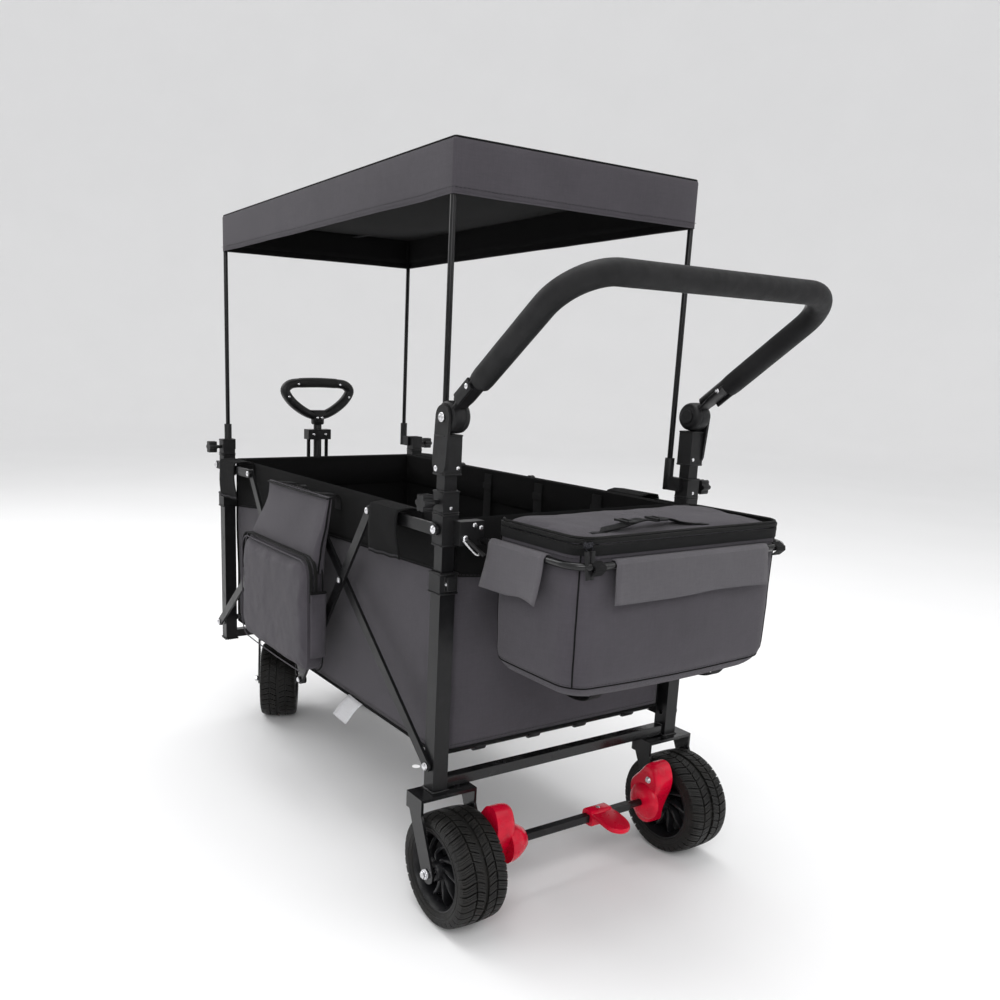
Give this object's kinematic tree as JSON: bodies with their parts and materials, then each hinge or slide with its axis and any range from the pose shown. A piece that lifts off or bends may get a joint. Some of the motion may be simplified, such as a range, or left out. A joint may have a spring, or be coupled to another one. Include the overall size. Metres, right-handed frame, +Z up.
{
  "type": "folding wagon with pull handle",
  "caption": "Folding cloth-sided wagon with a canopy, telescopic pull handle, tilting push handle, zipped rear basket, side bag, caster front wheels and a foot brake.",
  "frame": {"origin": "on the floor, midway between the four posts", "axes": "+X forward to the pull handle, +Y to the left, +Z up"},
  "size_m": [1.3935, 0.699, 1.304],
  "materials": {
    "frame_paint": "satin black powder coat",
    "fitting_plastic": "fine moulded texture",
    "rim_plastic": "satin moulded",
    "tyre": "matte rubber with block tread",
    "bright_steel": "bright zinc plate",
    "brake_red": "gloss",
    "foam": "fine closed-cell foam",
    "grey_cloth": "plain polyester weave",
    "black_cloth": "plain polyester weave"
  },
  "bodies": {
    "rear_frame": {"rear_lower_posts": "frame_paint", "rear_upper_posts": "frame_paint", "rear_post_collars": "fitting_plastic", "rear_crossbars": "frame_paint", "rear_forks": "frame_paint", "rear_axles": "bright_steel", "rear_rail_brackets": "fitting_plastic", "rear_pole_clamps": "fitting_plastic", "push_handle_brackets": "fitting_plastic", "rear_frame_bolts": "bright_steel", "brake_covers": "brake_red", "basket_frame": "frame_paint", "basket_body": "grey_cloth", "basket_flaps": "grey_cloth", "tub_rear_wall": "grey_cloth", "tub_side_walls": "grey_cloth", "side_bag": "grey_cloth"},
    "rear_knob_left": {"rear_knob_left": "fitting_plastic"},
    "rear_knob_right": {"rear_knob_right": "fitting_plastic"},
    "rear_wheel_left": {"rear_tyre_left": "tyre", "rear_rim_left": "rim_plastic"},
    "rear_wheel_right": {"rear_tyre_right": "tyre", "rear_rim_right": "rim_plastic"},
    "brake": {"brake_bar": "frame_paint", "brake_pedal": "brake_red"},
    "push_handle": {"push_tube": "frame_paint", "foam_grip": "foam", "push_handle_hubs": "fitting_plastic"},
    "hinge_button_left": {"hinge_button_left": "fitting_plastic"},
    "hinge_button_right": {"hinge_button_right": "fitting_plastic"},
    "basket_lid": {"basket_lid": "grey_cloth"},
    "canopy": {"canopy_roof": "grey_cloth", "rear_poles": "frame_paint"},
    "front_canopy_poles": {"front_poles": "frame_paint"},
    "rear_lower_links": {"rear_lower_links": "frame_paint"},
    "front_lower_links": {"front_lower_links": "frame_paint"},
    "rear_upper_links": {"rear_upper_links": "frame_paint"},
    "front_upper_links": {"front_upper_links": "frame_paint"},
    "rear_rail_arms": {"rear_rail_arms": "frame_paint"},
    "front_rail_arms": {"front_rail_arms": "frame_paint"},
    "rear_floor": {"rear_floor_frame": "frame_paint", "rear_floor_board": "black_cloth"},
    "front_floor": {"front_floor_frame": "frame_paint", "front_floor_board": "black_cloth"},
    "front_frame": {"front_posts": "frame_paint", "front_brackets": "fitting_plastic", "front_crossbars": "frame_paint", "front_frame_bolts": "bright_steel", "tub_front_wall": "grey_cloth"},
    "front_knob_left": {"front_knob_left": "fitting_plastic"},
    "front_knob_right": {"front_knob_right": "fitting_plastic"},
    "caster_left": {"caster_fork_left": "frame_paint"},
    "front_wheel_left": {"front_tyre_left": "tyre", "front_rim_left": "rim_plastic"},
    "caster_right": {"caster_fork_right": "frame_paint"},
    "front_wheel_right": {"front_tyre_right": "tyre", "front_rim_right": "rim_plastic"},
    "pull_handle": {"pull_rods": "frame_paint"},
    "pull_stem": {"pull_tube": "frame_paint", "pull_grip": "fitting_plastic"}
  },
  "joints": [
    {"name": "fold", "type": "hinge", "parent": "rear_frame", "child": "rear_lower_links", "pos_m": [-0.516, 0, 0.272], "axis": [0, -1, 0], "range_deg": [0, 32], "deforming": ["tub_side_walls", "side_bag", "canopy_roof"]},
    {"name": "front_link_fold", "type": "hinge", "parent": "rear_lower_links", "child": "front_lower_links", "pos_m": [0, 0, 0.691], "axis": [0, -1, 0], "range_deg": [-64.05, 0]},
    {"name": "front_frame_fold", "type": "hinge", "parent": "front_lower_links", "child": "front_frame", "pos_m": [0.516, 0, 0.272], "axis": [0, -1, 0], "range_deg": [0, 32.05]},
    {"name": "rear_upper_link_fold", "type": "hinge", "parent": "rear_lower_links", "child": "rear_upper_links", "pos_m": [-0.19027, 0, 0.5365], "axis": [0, -1, 0], "range_deg": [-55.43, 0]},
    {"name": "front_upper_link_fold", "type": "hinge", "parent": "front_lower_links", "child": "front_upper_links", "pos_m": [0.19027, 0, 0.5365], "axis": [0, -1, 0], "range_deg": [0, 55.43]},
    {"name": "rear_arm_fold", "type": "hinge", "parent": "rear_frame", "child": "rear_rail_arms", "pos_m": [-0.516, 0, 0.691], "axis": [0, -1, 0], "range_deg": [0, 59.72]},
    {"name": "front_arm_fold", "type": "hinge", "parent": "front_frame", "child": "front_rail_arms", "pos_m": [0.516, 0, 0.691], "axis": [0, -1, 0], "range_deg": [-59.72, 0]},
    {"name": "rear_floor_fold", "type": "hinge", "parent": "rear_frame", "child": "rear_floor", "pos_m": [-0.5, 0, 0.285], "axis": [0, -1, 0], "range_deg": [0, 66.53]},
    {"name": "front_floor_fold", "type": "hinge", "parent": "front_frame", "child": "front_floor", "pos_m": [0.5, 0, 0.285], "axis": [0, -1, 0], "range_deg": [-66.53, 0]},
    {"name": "rear_wheel_left_spin", "type": "hinge", "parent": "rear_frame", "child": "rear_wheel_left", "pos_m": [-0.57, 0.271, 0.1], "axis": [0, 1, 0], "continuous": true},
    {"name": "caster_left_swivel", "type": "hinge", "parent": "front_frame", "child": "caster_left", "pos_m": [0.516, 0.135, 0.237], "axis": [0, 0, 1], "continuous": true},
    {"name": "front_wheel_left_spin", "type": "hinge", "parent": "caster_left", "child": "front_wheel_left", "pos_m": [0.48036, 0.15316, 0.1], "axis": [0.454, 0.891, 0], "continuous": true},
    {"name": "rear_knob_left_turn", "type": "hinge", "parent": "rear_frame", "child": "rear_knob_left", "pos_m": [-0.516, 0.3, 0.7362], "axis": [0, 1, 0], "continuous": true},
    {"name": "front_knob_left_turn", "type": "hinge", "parent": "front_frame", "child": "front_knob_left", "pos_m": [0.516, 0.3, 0.7362], "axis": [0, 1, 0], "continuous": true},
    {"name": "hinge_button_left_press", "type": "slide", "parent": "push_handle", "child": "hinge_button_left", "axis": [0, 1, 0], "range_m": [0, 0.004], "stiffness_N_per_m": 500, "springref_m": -0.002},
    {"name": "rear_wheel_right_spin", "type": "hinge", "parent": "rear_frame", "child": "rear_wheel_right", "pos_m": [-0.57, -0.271, 0.1], "axis": [0, 1, 0], "continuous": true},
    {"name": "caster_right_swivel", "type": "hinge", "parent": "front_frame", "child": "caster_right", "pos_m": [0.516, -0.135, 0.237], "axis": [0, 0, 1], "continuous": true},
    {"name": "front_wheel_right_spin", "type": "hinge", "parent": "caster_right", "child": "front_wheel_right", "pos_m": [0.48036, -0.11684, 0.1], "axis": [0.454, 0.891, 0], "continuous": true},
    {"name": "rear_knob_right_turn", "type": "hinge", "parent": "rear_frame", "child": "rear_knob_right", "pos_m": [-0.516, -0.3, 0.7362], "axis": [0, 1, 0], "continuous": true},
    {"name": "front_knob_right_turn", "type": "hinge", "parent": "front_frame", "child": "front_knob_right", "pos_m": [0.516, -0.3, 0.7362], "axis": [0, 1, 0], "continuous": true},
    {"name": "hinge_button_right_press", "type": "slide", "parent": "push_handle", "child": "hinge_button_right", "axis": [0, -1, 0], "range_m": [0, 0.004], "stiffness_N_per_m": 500, "springref_m": -0.002},
    {"name": "brake_press", "type": "hinge", "parent": "rear_frame", "child": "brake", "pos_m": [-0.58, 0, 0.124], "axis": [0, -1, 0], "range_deg": [0, 20]},
    {"name": "push_handle_tilt", "type": "hinge", "parent": "rear_frame", "child": "push_handle", "pos_m": [-0.522, 0, 0.874], "axis": [0, 1, 0], "range_deg": [-36, 40]},
    {"name": "basket_lid_open", "type": "hinge", "parent": "rear_frame", "child": "basket_lid", "pos_m": [-0.571, 0, 0.703], "axis": [0, 1, 0], "range_deg": [0, 95]},
    {"name": "canopy_lift", "type": "slide", "parent": "rear_frame", "child": "canopy", "axis": [0, 0, 1], "range_m": [-0.2, 0]},
    {"name": "front_pole_lift", "type": "slide", "parent": "front_frame", "child": "front_canopy_poles", "axis": [0, 0, 1], "range_m": [-0.2001, 0.0001]},
    {"name": "pull_handle_swing", "type": "hinge", "parent": "front_frame", "child": "pull_handle", "pos_m": [0.572, 0, 0.25], "axis": [0, 1, 0], "range_deg": [0, 80]},
    {"name": "pull_handle_extend", "type": "slide", "parent": "pull_handle", "child": "pull_stem", "axis": [0, 0, 1], "range_m": [0, 0.3]}
  ],
  "couplings": [
    {"joint": "front_link_fold", "follows": "fold", "ratio": -2},
    {"joint": "front_frame_fold", "follows": "fold", "ratio": 1},
    {"joint": "rear_upper_link_fold", "follows": "fold", "ratio": -1.7308},
    {"joint": "front_upper_link_fold", "follows": "fold", "ratio": 1.7308},
    {"joint": "rear_arm_fold", "follows": "fold", "ratio": 1.8647},
    {"joint": "front_arm_fold", "follows": "fold", "ratio": -1.8647},
    {"joint": "rear_floor_fold", "follows": "fold", "ratio": 2.0774},
    {"joint": "front_floor_fold", "follows": "fold", "ratio": -2.0774},
    {"joint": "front_pole_lift", "follows": "canopy_lift", "ratio": 1}
  ]
}
